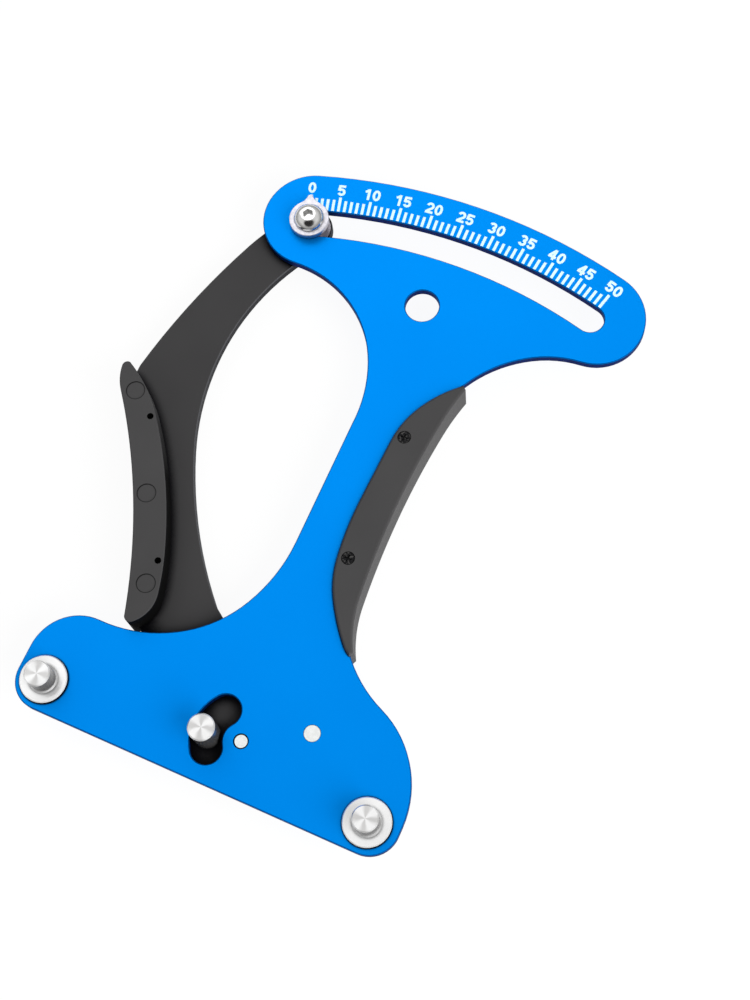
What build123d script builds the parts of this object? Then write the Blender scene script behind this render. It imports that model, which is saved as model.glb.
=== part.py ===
from build123d import *

import os
from math import cos, radians, sin

# Spoke tension meter. The origin is on the hanging hole's axis, in the plate's front face.
# X runs along the line of the fixed posts, Y towards the scale, Z out of the front.
# Sizes are in millimetres and degrees.

# Plate, and the levels of what lies behind it
plate_t = 3.0
plate_back = -plate_t
lever_t = 3.0
lever_gap = 0.8
lever_front = plate_back - lever_gap
lever_back = lever_front - lever_t
edge_break = 0.3

# Pivot, fixed posts and movable post
pivot = Vector(6.5, -143.0)
post_spacing = 102.0
posts_mid_x = -2.5
posts_y = -149.5
fixed_posts = [Vector(posts_mid_x + side * post_spacing / 2, posts_y) for side in (-1, 1)]
fixed_post_r = 3.8
moving_post_r = 3.95
post_top = 8.6
post_chamfer = 0.35
flange_r = 7.0
flange_t = 1.3
stub_r = 3.0
post_flare = 0.5
stub_short = 0.3
post_tap_r = 2.0
post_tap_top = 5.0
post_washer_r = 4.5
post_washer_t = 0.8
post_screw_head_r = 3.8
post_screw_head_t = 2.2
post_screw_tip = 4.4
post_socket = 2.5
socket_share = 0.55
moving_tap_r = 1.5
moving_tap_top = 2.0
moving_washer_r = 3.5
moving_washer_t = 0.5
moving_head_r = 2.85
moving_head_t = 1.65
moving_screw_tip = 1.4
moving_socket = 2.0

# Scale, slots and head, all concentric with the pivot
travel = 32.7
rest_angle = 107.9
slot_radius = 163.8
slot_width = 8.7
slot_overrun = 0.15
head_radius = 180.6
head_cap_left = 107.6
head_cap_right = 74.874
hanging_hole_r = 5.2
kidney_radius = 10.1
kidney_width = 9.3
kidney_start = 141.7
kidney_sweep = 72.6
moving_post_radius = 10.4
moving_post_angle = 189.8

# Lever
hub_r = 14.4
hub_join_r = 13.4
hub_join_angle = 50
running_gap = 0.04
pivot_play = 0.1
pivot_nose_r = 1.85
pivot_nose_top = -0.2
pivot_stub_r = 2.25
pivot_stub_top = -0.6
pivot_shoulder_r = 4.0
pivot_washer_r = 5.4
pivot_rear_washer_r = 6.0
pivot_rear_washer_t = 0.6
pivot_head_r = 5.5
pivot_head_t = 2.2
pivot_socket = 4.0
pivot_socket_depth = 1.3
boss_r = 6.8
boss_from = 139.5
boss_to = -22.5
spring_tail = Vector(19.0, -152.5)
tail_r = 4.2
tail_fillet = 3.0

# Spring and its two pins
anchor = Vector(24.1, -133.0)
pin_r = 2.5
pin_break = 0.15
pin_body_r = 1.9
anchor_collar_r = 3.2
anchor_collar_t = 1.2
tail_pin_r = 1.8
tail_collar_r = 2.4
tail_collar_t = 0.4
pin_groove_r = 1.5
pin_groove_near = 1.3
pin_groove_far = 0.9
pin_end = -12.3
spring_level = -9.6
wire_r = 0.45
coil_r = 2.05
coil_turns = 13
spring_eye_r = 2.1
spring_neck = 1.3

# Grips: a thin flange on the screws' side, a groove for the sheet, and a thick flange
thin_flange = 1.5
thick_flange = 8.0
grip_round = 0.8
lever_grip_round = 0.4
grip_screw_r = 1.0
grip_head_r = 1.8
grip_sink_r = 2.05
grip_sink_depth = 1.0
grip_head_t = 0.8
grip_screw_length = 7.0
cross_length = 2.2
cross_width = 0.45
cross_depth = 0.5
plate_grip_screws_at = [(12.5, -41.9), (12.5, -82.5)]
lever_grip_screws_at = [(-59.9, -65.9), (-37.7, -105.4)]
ejector_marks_at = [(-67.8, -60.1), (-50.1, -88.1), (-37.9, -112.9)]
ejector_mark_r = 2.8
ejector_mark_depth = 0.2

# Pointer stack on the lever's end
bush_r = 4.1
bush_flange_r = 6.15
bush_flange_bottom = 1.3
bush_flange_t = 1.1
pointer_r = 6.15
pointer_t = 0.6
pointer_tilt = 3.5
pointer_reach = 8.1
pointer_tip_half = 0.5
pointer_root = 5.0
pointer_root_half = 2.3
pointer_flare = 3.0
pointer_break = 0.12
spacer_r = 6.2
spacer_t = 0.6
bolt_r = 2.5
bolt_head_r = 4.75
bolt_head_t = 2.75
bolt_rim_t = 0.35
bolt_shoulder_r = 3.9
bolt_shoulder_t = 1.75
bolt_crown_r = 2.3
bolt_hex = 3.0
bolt_hex_depth = 1.6
nut_across = 8.0
nut_t = 4.2
nut_collar_t = 1.1
nut_collar_r = 3.6
bolt_past_nut = 0.5


def around(centre, radius, angle):
    """A point at a radius and angle about a centre."""
    return centre + Vector(radius * cos(radians(angle)), radius * sin(radians(angle)))


def from_pivot(radius, angle):
    return around(pivot, radius, angle)


def flow(line, points):
    """Arcs through the points, each leaving the last edge in its own direction."""
    for point in points:
        line = TangentArc(line @ 1, point, tangent=line % 1)
    return line


def discs(points, radius, bottom, top, mode=Mode.ADD):
    """Round bars at the points, from one level to another, in the part being built."""
    with BuildSketch(Plane.XY.offset(bottom)) as rounds:
        with Locations(*points):
            Circle(radius)
    extrude(rounds.sketch, amount=top - bottom, mode=mode)


def turned(point, profile):
    """A turned piece about an upright axis at a point, from a closed profile of radius and level."""
    with BuildSketch(Plane(point, x_dir=(1, 0, 0), z_dir=(0, -1, 0))) as section:
        with BuildLine():
            Polyline(*profile, close=True)
        make_face()
    revolve(section.sketch, axis=Axis(point, (0, 0, 1)))


def write(piece, name):
    piece.part.label = name
    export_step(piece.part, f"parts/{name}.step")


os.makedirs("parts", exist_ok=True)
pointer_at = from_pivot(slot_radius, rest_angle)
moving_post_at = from_pivot(moving_post_radius, moving_post_angle)

# ---- Base plate ---------------------------------------------------------------------------
# A laser-cut sheet: a wide foot for the posts, a waisted neck and an arched head.

foot_y = -158.3
neck_left_x = -4.0
neck_right_x = 16.5

with BuildSketch(Plane.XY.offset(plate_back)) as plate_outline:
    with BuildLine():
        foot = Line((-53.2, foot_y), (49.1, foot_y))
        corner = flow(foot, [(57.9, -149.6)])
        right_side = Line(corner @ 1, (57.9, -146.7))
        right_flank = flow(right_side, [(39.4, -119.0), (25.5, -109.2), (neck_right_x, -87.5)])
        neck_right = Line(right_flank @ 1, (neck_right_x, -41.5))
        under_right = flow(neck_right, [(23.6, -16.7), (37.7, -3.2), (51.6, 1.0)])
        head_right = flow(under_right, [(65.4, 15.0), from_pivot(head_radius, head_cap_right)])
        head_left = flow(head_right, [from_pivot(head_radius, head_cap_left), (-42.6, -1.5)])
        under_left = flow(head_left, [(-22.1, -6.8), (-8.9, -21.1), (neck_left_x, -43.5)])
        neck_left = Line(under_left @ 1, (neck_left_x, -83.5))
        left_flank = flow(neck_left, [(-9.1, -105.4), (-22.1, -120.2), (-46.8, -127.3), (-62.0, -142.1)])
        left_side = Line(left_flank @ 1, (-62.1, -149.3))
        flow(left_side, [foot @ 0])
    make_face()

with BuildSketch(Plane.XY.offset(plate_back)) as plate_cuts:
    slot_start = rest_angle - travel - slot_overrun
    slot_path = CenterArc(pivot, slot_radius, slot_start, travel + 2 * slot_overrun, mode=Mode.PRIVATE)
    SlotArc(slot_path, slot_width)
    kidney_path = CenterArc(pivot, kidney_radius, kidney_start, kidney_sweep, mode=Mode.PRIVATE)
    SlotArc(kidney_path, kidney_width)
    Circle(hanging_hole_r)

with BuildPart() as base_plate:
    add(plate_outline.sketch)
    extrude(amount=plate_t)
    add(plate_cuts.sketch)
    extrude(amount=plate_t, mode=Mode.SUBTRACT)
    rims = base_plate.faces().filter_by(Axis.Z)
    chamfer(rims.edges(), edge_break)
    with Locations(*fixed_posts):
        Hole(stub_r)
    with Locations(pivot):
        Hole(pivot_stub_r)
    with Locations(anchor):
        Hole(pin_r)
    with Locations(*[(x, y, 0) for x, y in plate_grip_screws_at]):
        Hole(grip_screw_r)
write(base_plate, "base_plate")

# ---- Lever arm ----------------------------------------------------------------------------
# A black anodised sheet that turns on the pivot, from the spring's tail to the pointer's boss.

with BuildSketch(Plane.XY.offset(lever_back)) as lever_outline:
    with BuildLine():
        outer_up = TangentArc((-73.3, -49.7), (-59.5, 0.0), tangent=(0.16, 0.99))
        outer_up = flow(outer_up, [around(pointer_at, boss_r, boss_from)])
        inner_up = TangentArc((-51.9, -36.0), (-41.7, 2.0), tangent=(0, 1))
        inner_up = flow(inner_up, [around(pointer_at, boss_r, boss_to)])
        TangentArc(outer_up @ 1, inner_up @ 1, tangent=outer_up % 1)
        inner_down = TangentArc((-51.9, -36.0), (-45.4, -68.1), tangent=(0, -1))
        inner_down = flow(inner_down, [(-18.0, -109.7)])
        grip_end = Polyline((-73.3, -49.7), (-73.3, -52.0), (-70.0, -60.0))
        under_grip = ThreePointArc(grip_end @ 1, (-52.3, -89.5), (-37.5, -123.0))
        hub_join = from_pivot(hub_join_r, hub_join_angle)
        Polyline(under_grip @ 1, (-4.6, -153.2), (2.5, -155.5), hub_join, inner_down @ 1)
    make_face()
    with Locations(pivot):
        Circle(hub_r)
    with Locations(spring_tail):
        Circle(tail_r)
    fillet(lever_outline.vertices().sort_by_distance(spring_tail)[:2], tail_fillet)

with BuildPart() as lever_arm:
    add(lever_outline.sketch)
    extrude(amount=lever_t)
    chamfer(lever_arm.faces().filter_by(Axis.Z).edges(), edge_break)
    with Locations((pivot.X, pivot.Y, lever_front)):
        Hole(pivot_shoulder_r + running_gap)
    with Locations((pointer_at.X, pointer_at.Y, lever_front)):
        Hole(bolt_r)
    with Locations((moving_post_at.X, moving_post_at.Y, lever_front)):
        Hole(pin_r)
    with Locations((spring_tail.X, spring_tail.Y, lever_front)):
        Hole(tail_pin_r)
    with Locations(*[(x, y, lever_front) for x, y in lever_grip_screws_at]):
        Hole(grip_screw_r)
write(lever_arm, "lever_arm")

# ---- Grips --------------------------------------------------------------------------------
# Moulded channels. Each slides over the edge of its sheet, and two screws hold it.

with BuildSketch() as plate_grip_outline:
    with BuildLine():
        seam = TangentArc((22.2, -19.9), (13.0, -31.0), tangent=(-0.77, -0.64))
        seam = flow(seam, [(9.2, -44.5), (8.4, -64.5), (9.4, -83.5), (13.5, -95.2), (22.5, -107.3)])
        palm_up = TangentArc((19.1, -64.0), (20.9, -33.0), tangent=(0, 1))
        palm_up = flow(palm_up, [(23.3, -20.8)])
        palm_down = TangentArc((19.1, -64.0), (20.4, -91.5), tangent=(0, -1))
        palm_down = flow(palm_down, [(25.3, -107.3)])
        Line(palm_up @ 1, (22.2, -19.9))
        Polyline(palm_down @ 1, (24.6, -108.8), seam @ 1)
    make_face()

with BuildPart() as plate_grip:
    add(plate_grip_outline.sketch)
    extrude(amount=thin_flange)
    add(plate_grip_outline.sketch)
    extrude(amount=plate_back - thick_flange)
    fillet(plate_grip.faces().filter_by(Axis.Z).sort_by(Axis.Z)[0].edges(), grip_round)
    fillet(plate_grip.faces().filter_by(Axis.Z).sort_by(Axis.Z)[-1].edges(), grip_round)
    add(plate_outline.sketch)
    extrude(amount=plate_t, mode=Mode.SUBTRACT)
    discs(plate_grip_screws_at, grip_screw_r, thin_flange, plate_back - thick_flange, Mode.SUBTRACT)
    discs(plate_grip_screws_at, grip_sink_r, thin_flange, thin_flange - grip_sink_depth, Mode.SUBTRACT)
write(plate_grip, "plate_grip")

with BuildSketch(Plane.XY.offset(lever_front)) as lever_grip_outline:
    with BuildLine():
        tip = TangentArc((-73.6, -52.35), (-58.5, -65.0), tangent=(0.88, -0.47))
        seam = flow(tip, [(-37.0, -102.3), (-33.2, -114.5), (-36.5, -124.7)])
        fingers = ThreePointArc((-39.6, -123.6), (-54.5, -88.5), (-72.2, -61.6))
        flow(fingers, [(-75.4, -54.2), tip @ 0])
        flow(seam, [fingers @ 0])
    make_face()

with BuildPart() as lever_grip:
    add(lever_grip_outline.sketch)
    extrude(amount=thick_flange)
    add(lever_grip_outline.sketch)
    extrude(amount=-lever_t - thin_flange)
    fillet(lever_grip.faces().filter_by(Axis.Z).sort_by(Axis.Z)[0].edges(), grip_round)
    fillet(lever_grip.faces().filter_by(Axis.Z).sort_by(Axis.Z)[-1].edges(), lever_grip_round)
    add(lever_outline.sketch)
    extrude(amount=lever_t, mode=Mode.SUBTRACT)
    grip_front = lever_front + thick_flange
    grip_back = lever_back - thin_flange
    discs(ejector_marks_at, ejector_mark_r, grip_front, grip_front - ejector_mark_depth, Mode.SUBTRACT)
    discs(lever_grip_screws_at, grip_screw_r, grip_back, grip_front, Mode.SUBTRACT)
    discs(lever_grip_screws_at, grip_sink_r, grip_back, grip_back + grip_sink_depth, Mode.SUBTRACT)
write(lever_grip, "lever_grip")


# ---- Grip screws --------------------------------------------------------------------------
# Two small pan-head screws with a cross recess hold each grip on its sheet.


def grip_screws(points, face, up):
    """Screws with their heads sunk in a face, driven from above (up is 1) or from below (-1)."""
    seat = face - up * grip_sink_depth
    discs(points, grip_head_r, seat, seat + up * grip_head_t)
    discs(points, grip_screw_r, seat, seat - up * grip_screw_length)
    with BuildSketch(Plane.XY.offset(seat + up * grip_head_t)) as cross:
        with Locations(*points):
            Rectangle(cross_length, cross_width)
            Rectangle(cross_width, cross_length)
    extrude(cross.sketch, amount=-up * cross_depth, mode=Mode.SUBTRACT)


with BuildPart() as plate_grip_screws:
    grip_screws(plate_grip_screws_at, thin_flange, 1)
write(plate_grip_screws, "plate_grip_screws")

with BuildPart() as lever_grip_screws:
    grip_screws(lever_grip_screws_at, grip_back, -1)
write(lever_grip_screws, "lever_grip_screws")

# ---- Fixed posts --------------------------------------------------------------------------
# Turned steel, each with a flange on the plate and a stub in it, held by a screw from the back.


def fixed_post(point):
    base = flange_t + post_flare
    top = post_top - post_chamfer
    profile = [(0, post_tap_top), (post_tap_r, post_tap_top), (post_tap_r, plate_back + stub_short)]
    profile += [(stub_r, plate_back + stub_short), (stub_r, 0), (flange_r, 0)]
    profile += [(flange_r, flange_t - edge_break), (flange_r - edge_break, flange_t)]
    profile += [(fixed_post_r + post_flare, flange_t), (fixed_post_r, base), (fixed_post_r, top)]
    profile += [(fixed_post_r - post_chamfer, post_top), (0, post_top)]
    turned(point, profile)


with BuildPart() as fixed_post_left:
    fixed_post(fixed_posts[0])
write(fixed_post_left, "fixed_post_left")

with BuildPart() as fixed_post_right:
    fixed_post(fixed_posts[1])
write(fixed_post_right, "fixed_post_right")

with BuildPart() as fixed_post_washers:
    discs(fixed_posts, post_washer_r, plate_back, plate_back - post_washer_t)
    discs(fixed_posts, post_tap_r, plate_back, plate_back - post_washer_t, Mode.SUBTRACT)
write(fixed_post_washers, "fixed_post_washers")


def cap_screw(points, head_r, head_t, screw_r, seat, tip, socket):
    """Button-headed screws put in from the back, with a hexagon socket."""
    discs(points, head_r, seat, seat - head_t)
    chamfer(faces().sort_by(Axis.Z)[0].edges(), head_t / 3)
    discs(points, screw_r, seat, tip)
    with BuildSketch(Plane.XY.offset(seat - head_t)) as hexagon:
        with Locations(*points):
            RegularPolygon(socket / 2, 6, major_radius=False)
    extrude(hexagon.sketch, amount=head_t * socket_share, mode=Mode.SUBTRACT)


with BuildPart() as fixed_post_screws:
    seat = plate_back - post_washer_t
    for post in fixed_posts:
        cap_screw([post], post_screw_head_r, post_screw_head_t, post_tap_r, seat, post_screw_tip, post_socket)
write(fixed_post_screws, "fixed_post_screws")

# ---- Movable post -------------------------------------------------------------------------
# It stands on the lever, comes out through the kidney slot, and carries the spoke's middle.

with BuildPart() as movable_post:
    shoulder = lever_back + stub_short
    top = post_top - post_chamfer
    profile = [(0, moving_tap_top), (moving_tap_r, moving_tap_top), (moving_tap_r, shoulder)]
    profile += [(pin_r, shoulder), (pin_r, lever_front), (moving_post_r, lever_front), (moving_post_r, top)]
    profile += [(moving_post_r - post_chamfer, post_top), (0, post_top)]
    turned(moving_post_at, profile)
write(movable_post, "movable_post")

with BuildPart() as movable_post_washer:
    discs([moving_post_at], moving_washer_r, lever_back, lever_back - moving_washer_t)
    discs([moving_post_at], moving_tap_r, lever_back, lever_back - moving_washer_t, Mode.SUBTRACT)
write(movable_post_washer, "movable_post_washer")

with BuildPart() as movable_post_screw:
    seat = lever_back - moving_washer_t
    cap_screw([moving_post_at], moving_head_r, moving_head_t, moving_tap_r, seat, moving_screw_tip, moving_socket)
write(movable_post_screw, "movable_post_screw")

# ---- Pivot --------------------------------------------------------------------------------
# A shoulder bolt pressed into the plate. The lever turns on its shoulder between two washers.

bolt_seat = lever_back - pivot_play - pivot_rear_washer_t

with BuildPart() as pivot_bolt:
    profile = [(0, pivot_nose_top), (pivot_nose_r, pivot_nose_top), (pivot_stub_r, pivot_stub_top)]
    profile += [(pivot_stub_r, plate_back), (pivot_shoulder_r, plate_back), (pivot_shoulder_r, bolt_seat)]
    profile += [(pivot_head_r, bolt_seat), (pivot_head_r, bolt_seat - pivot_head_t + edge_break)]
    profile += [(pivot_head_r - edge_break, bolt_seat - pivot_head_t), (0, bolt_seat - pivot_head_t)]
    turned(pivot, profile)
    with BuildSketch(Plane.XY.offset(bolt_seat - pivot_head_t)):
        with Locations(pivot):
            RegularPolygon(pivot_socket / 2, 6, major_radius=False)
    extrude(amount=pivot_socket_depth, mode=Mode.SUBTRACT)
write(pivot_bolt, "pivot_bolt")

with BuildPart() as pivot_washer:
    discs([pivot], pivot_washer_r, plate_back, lever_front + pivot_play)
    discs([pivot], pivot_shoulder_r, plate_back, lever_front + pivot_play, Mode.SUBTRACT)
write(pivot_washer, "pivot_washer")

with BuildPart() as pivot_rear_washer:
    discs([pivot], pivot_rear_washer_r, lever_back - pivot_play, bolt_seat)
    discs([pivot], pivot_shoulder_r, lever_back - pivot_play, bolt_seat, Mode.SUBTRACT)
write(pivot_rear_washer, "pivot_rear_washer")

# ---- Spring and pins ----------------------------------------------------------------------
# A pin riveted in the plate and one in the lever's tail, each with a groove for the spring's eye.


def grooved_pin(point, stem_r, stem_top, sheet_back, collar_r, collar_t):
    """A pin with a stem in its sheet, a collar behind the sheet, and a groove at the spring's level."""
    near = spring_level + pin_groove_near
    far = spring_level - pin_groove_far
    profile = [(0, stem_top), (stem_r - pin_break, stem_top), (stem_r, stem_top - pin_break)]
    profile += [(stem_r, sheet_back), (collar_r, sheet_back), (collar_r, sheet_back - collar_t)]
    profile += [(pin_body_r, sheet_back - collar_t), (pin_body_r, near), (pin_groove_r, near)]
    profile += [(pin_groove_r, far), (pin_body_r, far), (pin_body_r, pin_end + edge_break)]
    profile += [(pin_body_r - edge_break, pin_end), (0, pin_end)]
    turned(point, profile)


with BuildPart() as spring_anchor_pin:
    grooved_pin(anchor, pin_r, 0, plate_back, anchor_collar_r, anchor_collar_t)
write(spring_anchor_pin, "spring_anchor_pin")

with BuildPart() as lever_spring_pin:
    grooved_pin(spring_tail, tail_pin_r, lever_front, lever_back, tail_collar_r, tail_collar_t)
write(lever_spring_pin, "lever_spring_pin")

spring_line = spring_tail - anchor
spring_way = spring_line.normalized()
spring_side = spring_way.cross(Vector(0, 0, 1))
eye_to_coil = spring_eye_r + spring_neck
coil_length = spring_line.length - 2 * eye_to_coil
turn = coil_length / coil_turns

with BuildPart() as return_spring:
    coil_start = Vector(anchor.X, anchor.Y, spring_level) + spring_way * eye_to_coil
    with BuildSketch(Plane(coil_start, x_dir=spring_way, z_dir=spring_side)):
        with BuildLine():
            ridges = [(0, coil_r)]
            for number in range(coil_turns):
                ridges += [((number + 0.5) * turn, coil_r + wire_r), ((number + 1) * turn, coil_r)]
            Polyline(*ridges, (coil_length, coil_r - wire_r), (0, coil_r - wire_r), close=True)
        make_face()
    revolve(axis=Axis(coil_start, spring_way))
    for eye, way in ((anchor, spring_way), (spring_tail, -spring_way)):
        centre = Vector(eye.X, eye.Y, spring_level)
        coil_end = centre + way * eye_to_coil
        with Locations(centre):
            Torus(spring_eye_r, wire_r)
        with BuildLine(Plane(coil_end, x_dir=way, z_dir=way.cross(Vector(0, 0, 1)))) as neck:
            TangentArc((wire_r, coil_r), (-spring_neck, 0), tangent=(-1, 0))
        with BuildSketch(Plane(neck.line @ 0, z_dir=-way)):
            Circle(wire_r)
        sweep(path=neck.line)
write(return_spring, "return_spring")

# ---- Pointer ------------------------------------------------------------------------------
# A bush guides the lever's end in the scale slot. The pointed washer on it reads the scale.

spacer_seat = lever_front + spacer_t
bush_top = bush_flange_bottom + bush_flange_t
pointer_top = bush_top + pointer_t

with BuildPart() as slot_spacer_washer:
    discs([pointer_at], spacer_r, lever_front, spacer_seat)
    discs([pointer_at], bolt_r, lever_front, spacer_seat, Mode.SUBTRACT)
write(slot_spacer_washer, "slot_spacer_washer")

with BuildPart() as slot_bush:
    discs([pointer_at], bush_r, spacer_seat, bush_flange_bottom)
    discs([pointer_at], bush_flange_r, bush_flange_bottom, bush_top)
    discs([pointer_at], bolt_r, spacer_seat, bush_top, Mode.SUBTRACT)
write(slot_bush, "slot_bush")

with BuildPart() as pointer_washer:
    with BuildSketch(Plane.XY.offset(bush_top)):
        with Locations(Location(pointer_at, rest_angle + pointer_tilt)):
            Circle(pointer_r)
            Polygon(
                (pointer_reach, pointer_tip_half),
                (pointer_reach, -pointer_tip_half),
                (pointer_root, -pointer_root_half),
                (pointer_root, pointer_root_half),
                align=None,
            )
        fillet(vertices().sort_by_distance(pointer_at)[:2], pointer_flare)
    extrude(amount=pointer_t)
    chamfer(faces().sort_by(Axis.Z)[-1].edges(), pointer_break)
    discs([pointer_at], bolt_r, bush_top, pointer_top, Mode.SUBTRACT)
write(pointer_washer, "pointer_washer")

with BuildPart() as pointer_screw:
    with BuildSketch(Plane(pointer_at, x_dir=(1, 0, 0), z_dir=(0, -1, 0))):
        with BuildLine():
            rim = (bolt_head_r, pointer_top + bolt_rim_t)
            crown = (bolt_crown_r, pointer_top + bolt_head_t)
            shoulder = (bolt_shoulder_r, pointer_top + bolt_shoulder_t)
            Polyline((0, pointer_top), (bolt_head_r, pointer_top), rim)
            ThreePointArc(rim, shoulder, crown)
            Polyline(crown, (0, pointer_top + bolt_head_t), (0, pointer_top))
        make_face()
    revolve(axis=Axis(pointer_at, (0, 0, 1)))
    discs([pointer_at], bolt_r, pointer_top, lever_back - nut_t - bolt_past_nut)
    with BuildSketch(Plane.XY.offset(pointer_top + bolt_head_t)):
        with Locations(pointer_at):
            RegularPolygon(bolt_hex / 2, 6, major_radius=False)
    extrude(amount=-bolt_hex_depth, mode=Mode.SUBTRACT)
write(pointer_screw, "pointer_screw")

with BuildPart() as pointer_nut:
    with BuildSketch(Plane.XY.offset(lever_back)):
        with Locations(pointer_at):
            RegularPolygon(nut_across / 2, 6, major_radius=False)
    extrude(amount=-nut_t + nut_collar_t)
    discs([pointer_at], nut_collar_r, lever_back - nut_t, lever_back - nut_t + nut_collar_t)
    chamfer(faces().sort_by(Axis.Z)[0].edges(), edge_break)
    discs([pointer_at], bolt_r, lever_back, lever_back - nut_t, Mode.SUBTRACT)
write(pointer_nut, "pointer_nut")
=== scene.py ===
from math import cos, pi, radians, sin, tau

import bmesh
import bpy
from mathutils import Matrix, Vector


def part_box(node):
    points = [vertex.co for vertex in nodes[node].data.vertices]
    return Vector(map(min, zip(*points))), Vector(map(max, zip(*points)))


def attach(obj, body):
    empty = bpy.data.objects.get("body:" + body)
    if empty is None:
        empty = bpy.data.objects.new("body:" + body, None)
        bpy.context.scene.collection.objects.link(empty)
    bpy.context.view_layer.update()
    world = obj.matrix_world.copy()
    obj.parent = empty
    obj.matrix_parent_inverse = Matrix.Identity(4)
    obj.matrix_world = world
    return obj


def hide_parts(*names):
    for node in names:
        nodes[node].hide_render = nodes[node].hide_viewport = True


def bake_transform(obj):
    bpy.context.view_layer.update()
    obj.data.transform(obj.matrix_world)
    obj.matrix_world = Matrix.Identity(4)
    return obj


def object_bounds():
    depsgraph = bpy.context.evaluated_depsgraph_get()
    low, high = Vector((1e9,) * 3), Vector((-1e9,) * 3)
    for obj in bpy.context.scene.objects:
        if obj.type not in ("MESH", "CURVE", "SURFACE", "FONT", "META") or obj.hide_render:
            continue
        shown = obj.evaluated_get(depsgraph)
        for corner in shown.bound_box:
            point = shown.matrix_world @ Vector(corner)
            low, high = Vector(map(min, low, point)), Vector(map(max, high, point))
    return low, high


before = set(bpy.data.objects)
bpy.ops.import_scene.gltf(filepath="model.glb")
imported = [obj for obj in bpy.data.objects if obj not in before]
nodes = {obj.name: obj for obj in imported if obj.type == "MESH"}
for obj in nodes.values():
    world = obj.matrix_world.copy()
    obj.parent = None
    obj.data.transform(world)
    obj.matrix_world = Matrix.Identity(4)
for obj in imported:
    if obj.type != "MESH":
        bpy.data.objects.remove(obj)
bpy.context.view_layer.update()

# ---- Base plate ---------------------------------------------------------------------------
# The body of the tool: one laser-cut aluminium sheet, bead blasted and then dyed blue in the
# anodising bath. Its cut walls keep the fine upright lines that the laser leaves, and are painted
# dark as painted shade; its broken edges are painted darker too, and painted shade darkens the
# sheet round the grip, the flanges and the washers.

MM = 0.001
BLUE_PALE = (0.0, 0.248, 0.81)
BLUE_DEEP = (0.0, 0.238, 0.79)
# The edge and wall tones are painted shade.
BLUE_EDGE_PAINTED_SHADE = (0.0, 0.11, 0.4)
BLUE_WALL_PAINTED_SHADE = (0.002, 0.022, 0.12)
BLUE_GLANCE = (0.02, 0.2, 0.6)
BLUE_METAL = 0.5
BLUE_ROUGHNESS = 0.42
BLUE_GLOSS = 0.05
BLUE_PAINTED_CORNER_SHADE = (1.6 * MM, 0.62, 0.78)
# The colour of the painted shade in corners.
PAINTED_SHADE_COLOR = (0.002, 0.002, 0.003)
DYE_CLOUDS = 22
LASER_LINES = (2500, 2500, 60)
LASER_DIP = 0.55
HALF_AND_HALF = (0.35, 0.65)
WHOLE_NOISE = (0.3, 0.7)
SHEET_LEAN = (0.4, 0.8)
CHAMFER_LEAN = 0.707
CHAMFER_SPAN = 0.12
BLAST_GRAIN = 3200
BLAST_DEPTH = 0.004 * MM
BLAST_DULL = (-0.04, 0.06)


def finish(name, color, metallic, roughness, gloss=0.5):
    """A material whose plain values stand on the shader's own sockets."""
    material = bpy.data.materials.new(name)
    material.use_nodes = True
    shader = material.node_tree.nodes["Principled BSDF"]
    shader.inputs["Base Color"].default_value = (*color, 1)
    shader.inputs["Metallic"].default_value = metallic
    shader.inputs["Roughness"].default_value = roughness
    shader.inputs["Specular IOR Level"].default_value = gloss
    return material, shader


def put(owner, kind, values=(), **settings):
    """A node in a material or a room, with values for its sockets by name or number."""
    node = owner.node_tree.nodes.new(kind)
    for key, value in settings.items():
        setattr(node, key, value)
    for key, value in dict(values).items():
        node.inputs[key].default_value = value
    return node


def join(owner, output, socket):
    owner.node_tree.links.new(output, socket)


def noise(material, spots, detail=2.0):
    """The strength of a noise with a number of spots per metre, alike or for each axis."""
    scale = spots if isinstance(spots, tuple) else (spots, spots, spots)
    place = put(material, "ShaderNodeTexCoord")
    stretch = put(material, "ShaderNodeMapping", {"Scale": scale})
    grain = put(material, "ShaderNodeTexNoise", {"Scale": 1.0, "Detail": detail})
    join(material, place.outputs["Object"], stretch.inputs["Vector"])
    join(material, stretch.outputs["Vector"], grain.inputs["Vector"])
    return grain.outputs["Fac"]


def spread(owner, value, low, high, to_low=0, to_high=1, shape="LINEAR"):
    """A value stretched from one span to another."""
    span = {"From Min": low, "From Max": high, "To Min": to_low, "To Max": to_high}
    ramp = put(owner, "ShaderNodeMapRange", span, interpolation_type=shape)
    join(owner, value, ramp.inputs["Value"])
    return ramp.outputs["Result"]


def blend(material, share, first, second):
    """A colour between two, each a plain colour or another node's output."""
    mix = put(material, "ShaderNodeMix", data_type="RGBA")
    join(material, share, mix.inputs["Factor"])
    for socket, color in (("A", first), ("B", second)):
        target = [s for s in mix.inputs if s.name == socket and s.type == "RGBA"][0]
        if isinstance(color, tuple):
            target.default_value = (*color, 1)
        else:
            join(material, color, target)
    return [s for s in mix.outputs if s.type == "RGBA"][0]


def emboss(material, shader, height, depth):
    """Relief of a depth in metres, from a height between 0 and 1."""
    bump = put(material, "ShaderNodeBump", {"Strength": 1.0, "Distance": depth})
    join(material, height, bump.inputs["Height"])
    join(material, bump.outputs["Normal"], shader.inputs["Normal"])


def lean(material):
    """How far a surface faces up or down: 1 on the sheet's faces, 0 on its cut walls."""
    surface = put(material, "ShaderNodeNewGeometry")
    upright = put(material, "ShaderNodeSeparateXYZ")
    join(material, surface.outputs["Normal"], upright.inputs["Vector"])
    size = put(material, "ShaderNodeMath", operation="ABSOLUTE")
    join(material, upright.outputs["Z"], size.inputs[0])
    return size.outputs[0]


def grime(material, clean, corners):
    """The clean colour, darkened in the corners as painted shade. The corners are given by their
    reach and by how open a spot is where the painted shade is full and where it ends."""
    reach, full, free = corners
    corner = put(material, "ShaderNodeAmbientOcclusion", {"Distance": reach})
    share = spread(material, corner.outputs["AO"], full, free)
    return blend(material, share, PAINTED_SHADE_COLOR, clean)


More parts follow.
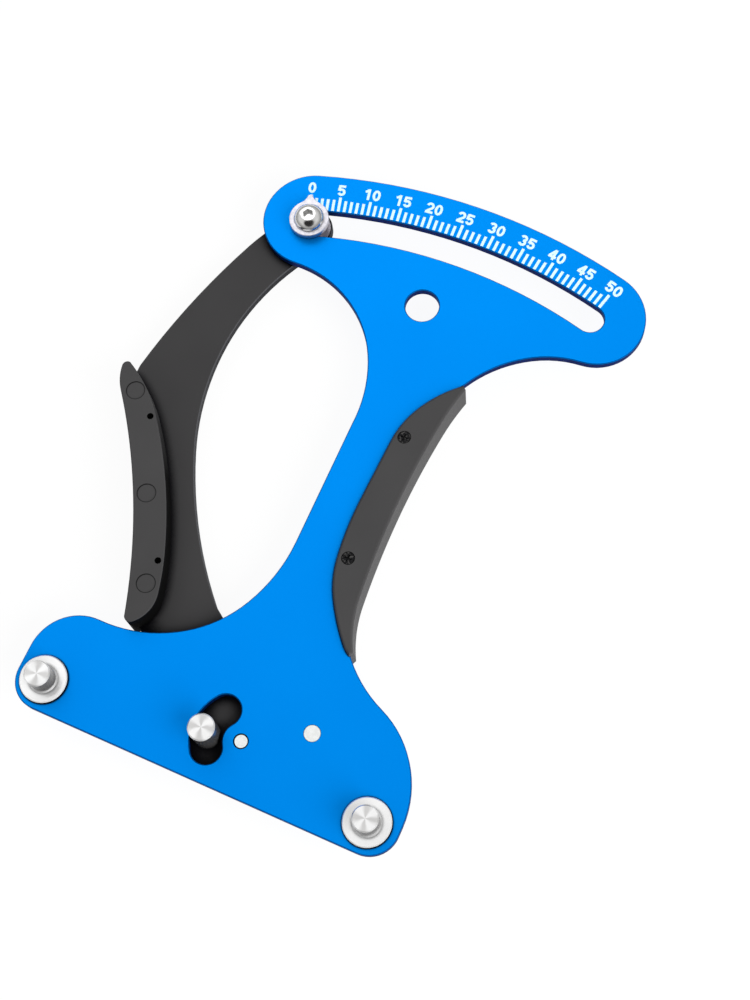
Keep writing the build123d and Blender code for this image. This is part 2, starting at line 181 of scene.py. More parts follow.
def anodised(name, colors, metallic, roughness, gloss, corners):
    """Blasted and dyed sheet: clouds in the dye, broken edges painted in a tone of their own
    (painted shade on the blue, a painted highlight on the black), laser lines on walls painted dark
    as shade, and painted shade in the corners.
    """
    pale, deep, painted_edge, shaded_wall = colors
    material, shader = finish(name, pale, metallic, roughness, gloss)
    clouds = noise(material, DYE_CLOUDS, detail=3.0)
    dye = blend(material, spread(material, clouds, *HALF_AND_HALF), pale, deep)
    lines = noise(material, LASER_LINES)
    # Painted shade: the cut walls take a dark tone, with the laser lines in it.
    dim = tuple(LASER_DIP * c for c in shaded_wall)
    shaded_cut = blend(material, spread(material, lines, *HALF_AND_HALF), shaded_wall, dim)
    facing = lean(material)
    chamfer = {1: CHAMFER_LEAN, 2: CHAMFER_SPAN}
    broken = put(material, "ShaderNodeMath", chamfer, operation="COMPARE")
    join(material, facing, broken.inputs[0])
    sheet = blend(material, spread(material, facing, *SHEET_LEAN), shaded_cut, dye)
    # The broken edges take their own painted tone: darker on the blue sheet, lighter on the black.
    surface = blend(material, broken.outputs[0], sheet, painted_edge)
    # Painted shade darkens the sheet in its corners.
    join(material, grime(material, surface, corners), shader.inputs["Base Color"])
    grain = noise(material, BLAST_GRAIN)
    spots = [roughness + change for change in BLAST_DULL]
    join(material, spread(material, grain, *WHOLE_NOISE, *spots), shader.inputs["Roughness"])
    emboss(material, shader, grain, BLAST_DEPTH)
    return material, shader


def dress(node, material):
    """Give a node of the frame its finish."""
    nodes[node].data.materials.clear()
    nodes[node].data.materials.append(material)


blue_colors = (BLUE_PALE, BLUE_DEEP, BLUE_EDGE_PAINTED_SHADE, BLUE_WALL_PAINTED_SHADE)
blue_sheet, shader = anodised(
    "blue_dyed_sheet", blue_colors, BLUE_METAL, BLUE_ROUGHNESS, BLUE_GLOSS, BLUE_PAINTED_CORNER_SHADE
)
shader.inputs["Specular Tint"].default_value = (*BLUE_GLANCE, 1)
dress("base_plate", blue_sheet)

# ---- Scale marks and numerals -------------------------------------------------------------
# White ink printed through a screen on the plate's front: fifty-one marks, a longer one at each
# five with its number above. The marks stand a little closer together towards both ends.

PIVOT = Vector((6.5, -143.0, 0.0))
ZERO_ANGLE = 108.115
FIRST_STEP = 0.6027
STEP_GROWTH = 0.002522
STEP_RETURN = 0.00002711
LAST_MARK = 50
MARKS_IN_GROUP = 5
MARK_FOOT = 168.5
MARK_TOP = 171.95
LONG_MARK_TOP = 173.0
MARK_WIDTH = 0.88
NUMERAL_RADIUS = 175.5
ARC_FLATTENING = 0.6
LINE_CORNERS = 4
INK_HEIGHT = 0.02
INK_STEP = 0.002
DIGIT_HEIGHT = 3.8
DIGIT_STROKE = 0.8
DIGIT_PITCH = 2.83
DIGIT_TOP = (DIGIT_HEIGHT - DIGIT_STROKE) / 2
ARC_STEPS = 14
INK_PALE = (0.84, 1.0, 1.0)
INK_THIN = (0.62, 0.97, 1.0)
INK_ROUGHNESS = 0.55
INK_GLOSS = 0.3
INK_PATCHES = 900
INK_SPAN = (0.35, 0.7)
INK_GRAIN = 5000


def mesh_piece(name, points, faces, material, smooth=False):
    """A piece from points in millimetres, with its faces turned outwards."""
    mesh = bpy.data.meshes.new(name)
    mesh.from_pydata([tuple(MM * c for c in point) for point in points], [], faces)
    form = bmesh.new()
    form.from_mesh(mesh)
    bmesh.ops.recalc_face_normals(form, faces=form.faces)
    form.to_mesh(mesh)
    form.free()
    mesh.materials.append(material)
    mesh.polygons.foreach_set("use_smooth", [smooth] * len(mesh.polygons))
    piece = bpy.data.objects.new(name, mesh)
    bpy.context.scene.collection.objects.link(piece)
    return piece


def on_scale(radius, mark, sideways=0.0):
    """A point at a radius above a mark, moved square to it."""
    opened = FIRST_STEP * mark + STEP_GROWTH * mark**2 - STEP_RETURN * mark**3
    turn = radians(ZERO_ANGLE - opened)
    out = Vector((cos(turn), sin(turn), 0))
    across = Vector((sin(turn), -cos(turn), 0))
    return PIVOT + out * radius + across * sideways


def flatter(radius, mark):
    """A radius that grows a little towards both ends of the scale."""
    return radius + ARC_FLATTENING * (2 * mark / LAST_MARK - 1) ** 2


def printed_line(points, faces, path, width, height, closed=False):
    """Adds a line of ink along a path on the sheet, with square ends."""
    first, count = len(points), len(path)
    for number, here in enumerate(path):
        before = path[number - 1] if closed or number else here
        after = path[(number + 1) % count] if closed or number < count - 1 else here
        way = (after - before).normalized()
        side = Vector((-way.y, way.x, 0)) * width / 2
        for place, level in ((side, 0), (side, height), (-side, height), (-side, 0)):
            points.append(here + place + Vector((0, 0, level)))
    for number in range(count if closed else count - 1):
        near = first + LINE_CORNERS * number
        far = first + LINE_CORNERS * ((number + 1) % count)
        for corner in range(LINE_CORNERS):
            beside = (corner + 1) % LINE_CORNERS
            faces.append([near + corner, near + beside, far + beside, far + corner])
    if not closed:
        faces.append([first + corner for corner in range(LINE_CORNERS)])
        faces.append([len(points) - LINE_CORNERS + corner for corner in range(LINE_CORNERS)])


def curve(x, y, wide, high, start, end):
    """Points along part of an oval about (x, y), between two angles in degrees."""
    turns = [radians(start + (end - start) * step / ARC_STEPS) for step in range(ARC_STEPS + 1)]
    return [(x + wide * cos(t), y + high * sin(t)) for t in turns]


# The strokes of each digit, in millimetres from its middle.
STROKES = {
    "0": [curve(0, 0, 0.87, DIGIT_TOP, 90, 450)[:-1]],
    "1": [
        [(0.33, -1.9), (0.33, 1.9)],
        [(-0.9, 0.85), (-0.35, 1.05), (0.1, 1.5)],
    ],
    "2": [
        curve(0, 0.6, 0.87, DIGIT_TOP - 0.6, 168, -38) + [(-0.82, -1.3)],
        [(-1.22, -DIGIT_TOP), (1.2, -DIGIT_TOP)],
    ],
    "3": [
        curve(-0.05, 0.75, 0.8, DIGIT_TOP - 0.75, 160, -90),
        curve(-0.03, -0.72, 0.88, DIGIT_TOP - 0.72, 90, -160),
    ],
    "4": [
        [(0.42, -1.85), (0.42, 1.85)],
        [(-1.27, -0.78), (1.25, -0.78)],
        [(-0.98, -0.75), (0.32, 1.6)],
    ],
    "5": [
        [(-0.8, DIGIT_TOP), (1.1, DIGIT_TOP)],
        [(-0.72, 1.8), (-0.86, -0.1)],
        curve(-0.03, -0.55, 0.88, 0.9, 150, -158),
    ],
}


def numeral(points, faces, mark):
    """Adds the number of a mark, upright along its radius."""
    digits = str(mark)
    radius = flatter(NUMERAL_RADIUS, mark)
    for place, digit in enumerate(digits):
        shift = (place - (len(digits) - 1) / 2) * DIGIT_PITCH
        for order, stroke in enumerate(STROKES[digit]):
            path = [on_scale(radius + y, mark, shift + x) for x, y in stroke]
            height = INK_HEIGHT + INK_STEP * order
            printed_line(points, faces, path, DIGIT_STROKE, height, closed=digit == "0")


def printed_ink():
    """Screen ink: white, thin enough in places for the blue to cool it."""
    material, shader = finish("printed_ink", INK_PALE, 0.0, INK_ROUGHNESS, INK_GLOSS)
    thin = spread(material, noise(material, INK_PATCHES), *INK_SPAN)
    color = blend(material, thin, INK_PALE, INK_THIN)
    join(material, color, shader.inputs["Base Color"])
    emboss(material, shader, noise(material, INK_GRAIN), BLAST_DEPTH / 2)
    return material


ink = printed_ink()
points, faces = [], []
for mark in range(LAST_MARK + 1):
    top = flatter(MARK_TOP if mark % MARKS_IN_GROUP else LONG_MARK_TOP, mark)
    path = [on_scale(MARK_FOOT, mark), on_scale(top, mark)]
    printed_line(points, faces, path, MARK_WIDTH, INK_HEIGHT)
marks = mesh_piece("scale_marks", points, faces, ink)
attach(marks, "frame")

points, faces = [], []
for mark in range(0, LAST_MARK + 1, MARKS_IN_GROUP):
    numeral(points, faces, mark)
numerals = mesh_piece("scale_numerals", points, faces, ink)
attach(numerals, "frame")

# ---- Plate grip ---------------------------------------------------------------------------
# The palm's grip: a moulded glass-filled nylon channel pushed over the neck's edge. The mould's
# spark-eroded skin gives it a fine, dry texture. Two blackened steel screws hold it.

NYLON_PALE = (0.060, 0.059, 0.060)
NYLON_DEEP = (0.052, 0.051, 0.052)
NYLON_ROUGHNESS = 0.55
NYLON_GLOSS = 0.14
NYLON_CLOUDS = 30
SPARK_GRAIN = 2600
SPARK_DEPTH = 0.012 * MM
SPARK_DULL = (-0.07, 0.07)
BLACKENED = (0.005, 0.005, 0.006)
BLACKENED_WEAR_AND_GLINT = (0.07, 0.068, 0.066)
BLACKENED_METAL = 0.3
BLACKENED_ROUGHNESS = 0.45
BLACKENED_GLOSS = 0.14
WEAR_AND_GLINT_SPOTS = 1500
WEAR_AND_GLINT_SPAN = (0.52, 0.64)
SCREW_PAINTED_CORNER_SHADE = (0.8 * MM, 0.4, 0.8)


def moulded(name):
    """Black nylon with the mould's sparked skin and faint flow clouds."""
    material, shader = finish(name, NYLON_PALE, 0.0, NYLON_ROUGHNESS, NYLON_GLOSS)
    clouds = noise(material, NYLON_CLOUDS, detail=3.0)
    color = blend(material, spread(material, clouds, *WHOLE_NOISE), NYLON_PALE, NYLON_DEEP)
    join(material, color, shader.inputs["Base Color"])
    skin = noise(material, SPARK_GRAIN, detail=3.0)
    dull = spread(material, skin, *WHOLE_NOISE, *[NYLON_ROUGHNESS + d for d in SPARK_DULL])
    join(material, dull, shader.inputs["Roughness"])
    emboss(material, shader, skin, SPARK_DEPTH)
    return material, shader, color, dull


def blackened_steel():
    """Steel blackened in a hot salt bath: oily black, with lighter spots that are partly wear and
    partly painted glints, and painted shade in its corners.
    """
    look = (BLACKENED_METAL, BLACKENED_ROUGHNESS, BLACKENED_GLOSS)
    material, shader = finish("blackened_steel", BLACKENED, *look)
    wear_and_glint = noise(material, WEAR_AND_GLINT_SPOTS, detail=4.0)
    # Lighter spots: partly wear, partly painted glints.
    color = blend(material, spread(material, wear_and_glint, *WEAR_AND_GLINT_SPAN), BLACKENED, BLACKENED_WEAR_AND_GLINT)
    # Painted shade in the screw head's corners and recess.
    join(material, grime(material, color, SCREW_PAINTED_CORNER_SHADE), shader.inputs["Base Color"])
    emboss(material, shader, wear_and_glint, BLAST_DEPTH)
    return material


dress("plate_grip", moulded("moulded_nylon")[0])
blackened = blackened_steel()
dress("plate_grip_screws", blackened)

# ---- Fixed posts --------------------------------------------------------------------------
# Free-cutting steel turned on a lathe: the tool's feed leaves fine rings on every face that it
# crosses. The fans of light on each flat top are painted highlights, with painted dim between them,
# and the sides are painted darker as shade. Plated screws hold them.

STEEL = (0.87, 0.87, 0.87)
STEEL_PAINTED_DIM = (0.6, 0.595, 0.59)
STEEL_SIDE_PAINTED_SHADE = (0.13, 0.128, 0.126)
STEEL_METAL = 0.6
STEEL_ROUGHNESS = 0.24
STEEL_BRUSHED = 0.8
STEEL_LEAN = (0.3, 0.6)
STEEL_PAINTED_CORNER_SHADE = (1.8 * MM, 0.58, 0.9)
RING_SCALE = 350
RING_WANDER = 0.6
RING_DEPTH = 0.0025 * MM
FANS = 4
FAN_TURN = 2.6
FAN_WANDER = 2.2
FAN_SPOTS = 350
FAN_SPAN = (0.6, -0.8)
FAN_END = (3.8 * MM, 4.4 * MM)
ZINC = (0.74, 0.74, 0.73)
ZINC_ROUGHNESS = 0.26
PLATING_CLOUDS = 700
PLATING_SPAN = (0.35, 0.7)
PLATING_DIP = 0.86
PLATING_DULL = (-0.04, 0.08)


def centre_of(node):
    low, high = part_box(node)
    return (low + high) / 2


def fans(material, place):
    """Where a turned face is painted dim: between its painted fans of highlight, out to the rim of
    its top.
    """
    axes = put(material, "ShaderNodeSeparateXYZ")
    angle = put(material, "ShaderNodeMath", operation="ARCTAN2")
    turn = put(material, "ShaderNodeMath", {1: FANS, 2: FAN_TURN}, operation="MULTIPLY_ADD")
    wander = put(material, "ShaderNodeMath", {1: FAN_WANDER}, operation="MULTIPLY_ADD")
    wave = put(material, "ShaderNodeMath", operation="SINE")
    flat = put(material, "ShaderNodeVectorMath", {1: (1, 1, 0)}, operation="MULTIPLY")
    reach = put(material, "ShaderNodeVectorMath", operation="LENGTH")
    share = put(material, "ShaderNodeMath", operation="MULTIPLY")
    join(material, place, axes.inputs["Vector"])
    join(material, axes.outputs["Y"], angle.inputs[0])
    join(material, axes.outputs["X"], angle.inputs[1])
    join(material, angle.outputs[0], turn.inputs[0])
    join(material, noise(material, FAN_SPOTS, detail=1.0), wander.inputs[0])
    join(material, turn.outputs[0], wander.inputs[2])
    join(material, wander.outputs[0], wave.inputs[0])
    join(material, place, flat.inputs[0])
    join(material, flat.outputs["Vector"], reach.inputs[0])
    join(material, spread(material, wave.outputs[0], *FAN_SPAN), share.inputs[0])
    join(material, spread(material, reach.outputs["Value"], *FAN_END, 1, 0), share.inputs[1])
    return share.outputs[0]


def turned(node):
    """Turned steel: rings round the piece's upright axis, painted highlights in fans, sides painted
    darker as shade, and painted shade at the foot.
    """
    material, shader = finish(node + "_steel", STEEL, STEEL_METAL, STEEL_ROUGHNESS)
    place = put(material, "ShaderNodeTexCoord")
    shift = put(material, "ShaderNodeVectorMath", {1: centre_of(node)}, operation="SUBTRACT")
    join(material, place.outputs["Object"], shift.inputs[0])
    # Painted highlights: the top is lighter in fans and painted dim between them; the sides are
    # painted darker as shade.
    top = blend(material, fans(material, shift.outputs["Vector"]), STEEL, STEEL_PAINTED_DIM)
    facing = spread(material, lean(material), *STEEL_LEAN)
    surface = blend(material, facing, STEEL_SIDE_PAINTED_SHADE, top)
    # Painted shade at the foot and in the corners of the turned piece.
    join(material, grime(material, surface, STEEL_PAINTED_CORNER_SHADE), shader.inputs["Base Color"])
    shader.inputs["Anisotropic"].default_value = STEEL_BRUSHED
    round_way = put(material, "ShaderNodeTangent", direction_type="RADIAL", axis="Z")
    join(material, round_way.outputs["Tangent"], shader.inputs["Tangent"])
    feed = {"Scale": RING_SCALE, "Distortion": RING_WANDER, "Detail": 2.0}
    rings = put(material, "ShaderNodeTexWave", feed, wave_type="RINGS", rings_direction="Z")
    join(material, shift.outputs["Vector"], rings.inputs["Vector"])
    emboss(material, shader, rings.outputs["Fac"], RING_DEPTH)
    return material


def plated(name, color, roughness):
    """Plated steel: bright, slightly uneven, with a grain from the barrel."""
    material, shader = finish(name, color, 1.0, roughness)
    cloud = noise(material, PLATING_CLOUDS, detail=4.0)
    dim = tuple(PLATING_DIP * c for c in color)
    tint = spread(material, cloud, *PLATING_SPAN)
    join(material, blend(material, tint, color, dim), shader.inputs["Base Color"])
    dull = spread(material, cloud, *WHOLE_NOISE, *[roughness + d for d in PLATING_DULL])
    join(material, dull, shader.inputs["Roughness"])
    emboss(material, shader, cloud, BLAST_DEPTH / 2)
    return material


zinc = plated("zinc_plate", ZINC, ZINC_ROUGHNESS)
for post in ("fixed_post_left", "fixed_post_right"):
    dress(post, turned(post))
dress("fixed_post_washers", zinc)
dress("fixed_post_screws", zinc)

# ---- Spring anchor pin --------------------------------------------------------------------
# A turned steel pin pressed into the plate, with a groove behind it for the spring's eye. Its
# faced end shows as a bright disc in the front of the plate.

FACED = (0.88, 0.9, 0.89)
FACED_ROUGHNESS = 0.3

faced = plated("faced_steel", FACED, FACED_ROUGHNESS)
dress("spring_anchor_pin", faced)

# ---- Pivot bolt and its washers -----------------------------------------------------------
# A shoulder bolt pressed into the plate from behind, its nose faced like the pin's. The lever
# turns on its shoulder, between two zinc-plated washers.

dress("pivot_bolt", faced)
dress("pivot_washer", zinc)
dress("pivot_rear_washer", zinc)

# ---- Lever arm ----------------------------------------------------------------------------
# The moving arm: the same aluminium sheet as the plate, dyed black. It carries the movable post
# near its pivot and the pointer at its far end. Its walls are painted dark as painted shade, its
# broken edges lighter as a painted highlight, and a wide painted shadow darkens it beside the grip
# and in the kidney slot.

BLACK_PALE = (0.051, 0.050, 0.051)
BLACK_DEEP = (0.044, 0.043, 0.044)
# Painted highlight on the broken edges, painted shade on the walls and, reaching wide, in the
# corners.
BLACK_EDGE_PAINTED_HIGHLIGHT = (0.075, 0.075, 0.08)
BLACK_WALL_PAINTED_SHADE = (0.02, 0.02, 0.023)
BLACK_METAL = 0.0
BLACK_ROUGHNESS = 0.5
BLACK_GLOSS = 0.06
BLACK_PAINTED_CORNER_SHADE = (5.4 * MM, 0.52, 0.78)

black_colors = (BLACK_PALE, BLACK_DEEP, BLACK_EDGE_PAINTED_HIGHLIGHT, BLACK_WALL_PAINTED_SHADE)
black_sheet, shader = anodised(
    "black_dyed_sheet", black_colors, BLACK_METAL, BLACK_ROUGHNESS, BLACK_GLOSS, BLACK_PAINTED_CORNER_SHADE
)
dress("lever_arm", black_sheet)

# ---- Lever grip ---------------------------------------------------------------------------
# The fingers' grip: the same nylon, pushed over the lever's outer edge and held by two screws from
# behind. The mould's ejector pins left three round marks in its face, each ringed with painted
# shade, and its side towards the arm is painted black as painted shade.

MARK_RADIUS = 2.8
MARK_RING = 0.15
EJECTOR_MARKS = ((-67.8, -60.1), (-50.1, -88.1), (-37.9, -112.9))
# Painted shade: in the ejector marks' rings and on the walls that face the arm.
MARK_RING_PAINTED_SHADE = (0.016, 0.016, 0.016)
SIDE_PAINTED_SHADE = (0.002, 0.002, 0.002)
SHADED_SIDE_WAY = (0.6, -0.8, 0.0)
SHADED_SIDE_SPAN = (-0.1, 0.1)
SHADED_SIDE_LEAN = (0.2, 0.6)


def sooty_side(material):
    """1 on the walls that face the arm, where shade is painted, 0 on the front, the back and the
    fingers' side.
    """
    surface = put(material, "ShaderNodeNewGeometry")
    way = put(material, "ShaderNodeVectorMath", {1: SHADED_SIDE_WAY}, operation="DOT_PRODUCT")
    join(material, surface.outputs["Normal"], way.inputs[0])
    both = put(material, "ShaderNodeMath", operation="MULTIPLY")
    join(material, spread(material, lean(material), *SHADED_SIDE_LEAN, 1, 0), both.inputs[0])
    join(material, spread(material, way.outputs["Value"], *SHADED_SIDE_SPAN), both.inputs[1])
    return both.outputs[0]


def ring_mark(material, centre):
    """1 on a thin ring about a point of the face, 0 elsewhere."""
    place = put(material, "ShaderNodeTexCoord")
    away = put(material, "ShaderNodeVectorMath", {1: centre}, operation="DISTANCE")
    ring = {1: MARK_RADIUS * MM, 2: MARK_RING * MM}
    near = put(material, "ShaderNodeMath", ring, operation="COMPARE")
    join(material, place.outputs["Object"], away.inputs[0])
    join(material, away.outputs["Value"], near.inputs[0])
    return near.outputs[0]


nylon, shader, color, dull = moulded("moulded_nylon_marked")
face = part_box("lever_grip")[1].z
# Painted shade in the step of each ejector mark's ring.
for x, y in EJECTOR_MARKS:
    color = blend(nylon, ring_mark(nylon, (x * MM, y * MM, face)), color, MARK_RING_PAINTED_SHADE)
# Painted shade: the walls that face the arm are painted black, and made fully rough.
shaded_side = sooty_side(nylon)
join(nylon, blend(nylon, shaded_side, color, SIDE_PAINTED_SHADE), shader.inputs["Base Color"])
duller = put(nylon, "ShaderNodeMath", operation="MAXIMUM")
join(nylon, dull, duller.inputs[0])
join(nylon, shaded_side, duller.inputs[1])
join(nylon, duller.outputs[0], shader.inputs["Roughness"])
dress("lever_grip", nylon)
dress("lever_grip_screws", blackened)

# ---- Movable post -------------------------------------------------------------------------
# Turned like the fixed posts, but without a flange. It stands on the lever, comes out through
# the kidney slot, and is screwed on from behind through a washer.

dress("movable_post", turned("movable_post"))
dress("movable_post_washer", zinc)
dress("movable_post_screw", zinc)

# ---- Lever spring pin and return spring ---------------------------------------------------
# A close-wound extension spring of music wire, with a full eye at each end, hooked on the plate's
# pin and on the lever's pin. The real spring stretches as the lever is squeezed; the coil here is
# built once, at rest, and doesn't follow the lever.

WIRE_RADIUS = 0.45
WIRE_SIDES = 10
COIL_RADIUS = 2.05
COIL_TURNS = 13
STEPS_IN_TURN = 20
EYE_RADIUS = 2.1
EYE_START = 0.12
EYE_SWEEP = 0.86
EYE_TO_COIL = 3.4
NECK_STEPS = 5
SPRING_LEVEL = -9.6
WIRE_PALE = (0.5, 0.5, 0.51)
WIRE_DEEP = (0.4, 0.4, 0.41)
WIRE_ROUGHNESS = 0.3
WIRE_LINES = 1800

dress("lever_spring_pin", turned("lever_spring_pin"))


def wire(name, path, material):
    """A round wire along a path in millimetres, closed at both ends."""
    points, faces = [], []
    side = Vector((0, 0, 1))
    for number, point in enumerate(path):
        way = (path[min(number + 1, len(path) - 1)] - path[max(number - 1, 0)]).normalized()
        side = (side - way * side.dot(way)).normalized()
        other = way.cross(side)
        for corner in range(WIRE_SIDES):
            turn = tau * corner / WIRE_SIDES
            points.append(point + (side * cos(turn) + other * sin(turn)) * WIRE_RADIUS)
    for ring in range(len(path) - 1):
        for corner in range(WIRE_SIDES):
            a, b = ring * WIRE_SIDES + corner, ring * WIRE_SIDES + (corner + 1) % WIRE_SIDES
            faces.append([a, b, b + WIRE_SIDES, a + WIRE_SIDES])
    faces += [list(range(WIRE_SIDES)), list(range(len(points) - WIRE_SIDES, len(points)))]
    return mesh_piece(name, points, faces, material, smooth=True)


def spring_path(start, end):
    """An eye round the start, a neck, the coil, and the same again at the end."""
    way = (end - start).normalized()
    up = Vector((0, 0, 1))
    side = up.cross(way)
    path = []
    for step in range(STEPS_IN_TURN):
        turn = tau * (EYE_START + EYE_SWEEP * step / (STEPS_IN_TURN - 1))
        path.append(start + way * EYE_RADIUS * cos(turn) + side * EYE_RADIUS * sin(turn))
    for step in range(1, NECK_STEPS):
        turn = pi / 2 * step / NECK_STEPS
        along = EYE_RADIUS + (EYE_TO_COIL - EYE_RADIUS) * (1 - cos(turn))
        path.append(start + way * along + up * COIL_RADIUS * sin(turn))
    near_half = list(path)
    coil_start = start + way * EYE_TO_COIL + up * COIL_RADIUS
    coil_length = (end - start).length - 2 * EYE_TO_COIL
    for step in range(COIL_TURNS * STEPS_IN_TURN + 1):
        turn = tau * step / STEPS_IN_TURN
        along = way * coil_length * step / (COIL_TURNS * STEPS_IN_TURN)
        round_axis = up * (cos(turn) - 1) + side * sin(turn)
        path.append(coil_start + along + round_axis * COIL_RADIUS)
    far_half = [end - (point - start) for point in near_half]
    far_half = [Vector((point.x, point.y, 2 * end.z - point.z)) for point in far_half]
    return path + far_half[::-1]


def music_wire():
    """Drawn wire: smooth grey, with the die's faint lines."""
    material, shader = finish("music_wire", WIRE_PALE, 1.0, WIRE_ROUGHNESS)
    lines = noise(material, WIRE_LINES)
    color = blend(material, spread(material, lines, *WHOLE_NOISE), WIRE_PALE, WIRE_DEEP)
    join(material, color, shader.inputs["Base Color"])
    emboss(material, shader, lines, BLAST_DEPTH / 2)
    return material


anchor = centre_of("spring_anchor_pin") / MM
tail = centre_of("lever_spring_pin") / MM
anchor.z = tail.z = SPRING_LEVEL
spring = wire("return_spring_coil", spring_path(anchor, tail), music_wire())
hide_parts("return_spring")
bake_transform(spring)

# ---- Pointer stack ------------------------------------------------------------------------
# A flanged bush runs in the scale slot, with a spacer washer between the plate and the lever. A
# pearly pointed washer, a polished button-head screw and a lock nut clamp the stack on the
# lever's end. All but the nut are plated with nickel.

SATIN_NICKEL = (0.50, 0.475, 0.52)
SATIN_ROUGHNESS = 0.4
PEARL_NICKEL = (0.73, 0.715, 0.77)
PEARL_ROUGHNESS = 0.5
POLISHED_NICKEL = (0.66, 0.66, 0.65)
POLISHED_ROUGHNESS = 0.16

satin = plated("satin_nickel", SATIN_NICKEL, SATIN_ROUGHNESS)
dress("slot_spacer_washer", satin)
dress("slot_bush", satin)
dress("pointer_washer", plated("pearl_nickel", PEARL_NICKEL, PEARL_ROUGHNESS))
dress("pointer_screw", plated("polished_nickel", POLISHED_NICKEL, POLISHED_ROUGHNESS))
dress("pointer_nut", zinc)

# ---- Bench --------------------------------------------------------------------------------
# The tool lies on its back on a white bench. Seen by the camera, the bench glows like the white
# room, and it keeps a soft shadow of the tool.

BENCH_SIZE = 3000.0
BENCH_WHITE = (0.9, 0.9, 0.9)
BENCH_ROUGHNESS = 0.9
BENCH_GLOW = 0.9
BENCH_SHINE = 1.03


def seen_rays(owner):
    """1 for what the camera sees, straight, mirrored or through glass, and 0 for other light."""
    rays = put(owner, "ShaderNodeLightPath")
    straight = put(owner, "ShaderNodeMath", operation="MAXIMUM")
    through = put(owner, "ShaderNodeMath", operation="MAXIMUM")
    join(owner, rays.outputs["Is Camera Ray"], straight.inputs[0])
    join(owner, rays.outputs["Is Glossy Ray"], straight.inputs[1])
    join(owner, straight.outputs[0], through.inputs[0])
    join(owner, rays.outputs["Is Transmission Ray"], through.inputs[1])
    return through.outputs[0]


def white_bench():
    """Matt white paint that shows partly by its own glow."""
    material, shader = finish("white_bench", BENCH_WHITE, 0.0, BENCH_ROUGHNESS)
    glow = put(material, "ShaderNodeEmission", {"Strength": BENCH_SHINE})
    share = put(material, "ShaderNodeMath", {1: BENCH_GLOW}, operation="MULTIPLY")
    choice = put(material, "ShaderNodeMixShader")
    surface = material.node_tree.nodes["Material Output"].inputs["Surface"]
    join(material, seen_rays(material), share.inputs[0])
    join(material, share.outputs[0], choice.inputs[0])
    join(material, shader.outputs[0], choice.inputs[1])
    join(material, glow.outputs[0], choice.inputs[2])
    join(material, choice.outputs[0], surface)
    return material


half = BENCH_SIZE / 2
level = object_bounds()[0][2] / MM
corners = [(-half, -half, level), (half, -half, level), (half, half, level), (-half, half, level)]
bench = mesh_piece("bench", corners, [(0, 1, 2, 3)], white_bench())

# ---- Lamps and room -----------------------------------------------------------------------
# A large soft lamp at the upper left and a smaller one at the right, in a white room. Polished
# metal mirrors a dark patch of the room, where the onlooker stands, and its dim horizon.

KEY_AT = (-0.75, 0.65, 1.0)
KEY_SIZE = 1.2
KEY_POWER = 5.2
SIDE_AT = (0.9, -0.3, 0.6)
SIDE_SIZE = 0.9
SIDE_POWER = 14.0
ROOM_LIGHT = 0.42
ROOM_SHINE = 1.0
PATCH_SHINE = 0.03
PATCH_WAY = Vector((0.25, -0.55, 0.80)).normalized()
PATCH_EDGE = (cos(radians(38)), cos(radians(25)))
HORIZON_SHINE = 0.25
HORIZON_TOP = 0.55


def lamp(name, place, size, power):
    """A square soft lamp that looks at the hanging hole, from a place in metres."""
    light = bpy.data.lights.new(name, "AREA")
    light.shape = "SQUARE"
    light.size = size
    light.energy = power
    head = bpy.data.objects.new(name, light)
    head.location = place
    head.rotation_euler = (-Vector(place)).to_track_quat("-Z", "Y").to_euler()
    bpy.context.scene.collection.objects.link(head)
    return head


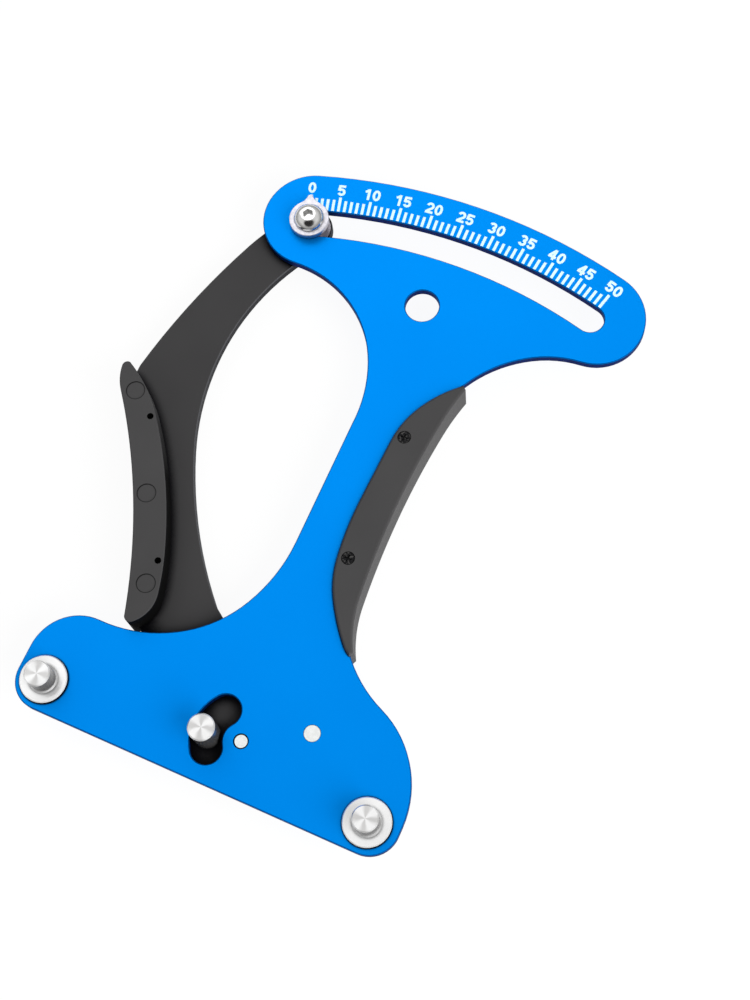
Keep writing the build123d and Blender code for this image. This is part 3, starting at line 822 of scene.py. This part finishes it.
def room_shine(world):
    """How bright a mirror sees the room: white, with a dark patch and a dim horizon."""
    way = put(world, "ShaderNodeTexCoord").outputs["Generated"]
    toward = put(world, "ShaderNodeVectorMath", {1: PATCH_WAY}, operation="DOT_PRODUCT")
    height = put(world, "ShaderNodeSeparateXYZ")
    shine = put(world, "ShaderNodeMath", operation="MULTIPLY")
    shines = (ROOM_SHINE, PATCH_SHINE, "SMOOTHSTEP")
    join(world, way, toward.inputs[0])
    join(world, way, height.inputs["Vector"])
    patch = spread(world, toward.outputs["Value"], *PATCH_EDGE, *shines)
    rise = spread(world, height.outputs["Z"], 0, HORIZON_TOP, HORIZON_SHINE)
    join(world, patch, shine.inputs[0])
    join(world, rise, shine.inputs[1])
    return shine.outputs[0]


def white_room():
    """A room that lights the tool evenly, and that the camera itself sees as plain white."""
    world = bpy.data.worlds.new("white_room")
    world.use_nodes = True
    light = world.node_tree.nodes["Background"]
    light.inputs["Color"].default_value = (1, 1, 1, 1)
    light.inputs["Strength"].default_value = ROOM_LIGHT
    seen = put(world, "ShaderNodeBackground", {"Color": (1, 1, 1, 1)})
    rays = put(world, "ShaderNodeLightPath")
    strength = put(world, "ShaderNodeMath", operation="MAXIMUM")
    choice = put(world, "ShaderNodeMixShader")
    join(world, room_shine(world), strength.inputs[0])
    join(world, rays.outputs["Is Camera Ray"], strength.inputs[1])
    join(world, strength.outputs[0], seen.inputs["Strength"])
    join(world, seen_rays(world), choice.inputs[0])
    join(world, light.outputs[0], choice.inputs[1])
    join(world, seen.outputs[0], choice.inputs[2])
    join(world, choice.outputs[0], world.node_tree.nodes["World Output"].inputs["Surface"])
    return world


lamp("key_lamp", KEY_AT, KEY_SIZE, KEY_POWER)
side_lamp = lamp("side_lamp", SIDE_AT, SIDE_SIZE, SIDE_POWER)
side_lamp.visible_glossy = False
bpy.context.scene.world = white_room()
bpy.context.scene.view_settings.view_transform = "Standard"

# ---- Camera -------------------------------------------------------------------------------
# It stands in front of the tool's foot, a little to the right, and looks down on its face. Its
# place is in millimetres, and its turns about the three axes are in degrees.

CAMERA_AT = (102.876, -192.583, 460.070)
CAMERA_TURN = (18.630, 3.728, 24.024)
FRAME_HEIGHT = 36.0
LENS = 59.57
NEAREST = 10.0

camera = bpy.data.objects.new("camera", bpy.data.cameras.new("camera"))
camera.data.sensor_fit = "VERTICAL"
camera.data.sensor_height = FRAME_HEIGHT
camera.data.lens = LENS
camera.data.clip_start = NEAREST * MM
camera.location = [MM * c for c in CAMERA_AT]
camera.rotation_euler = [radians(a) for a in CAMERA_TURN]
bpy.context.scene.collection.objects.link(camera)
bpy.context.scene.camera = camera
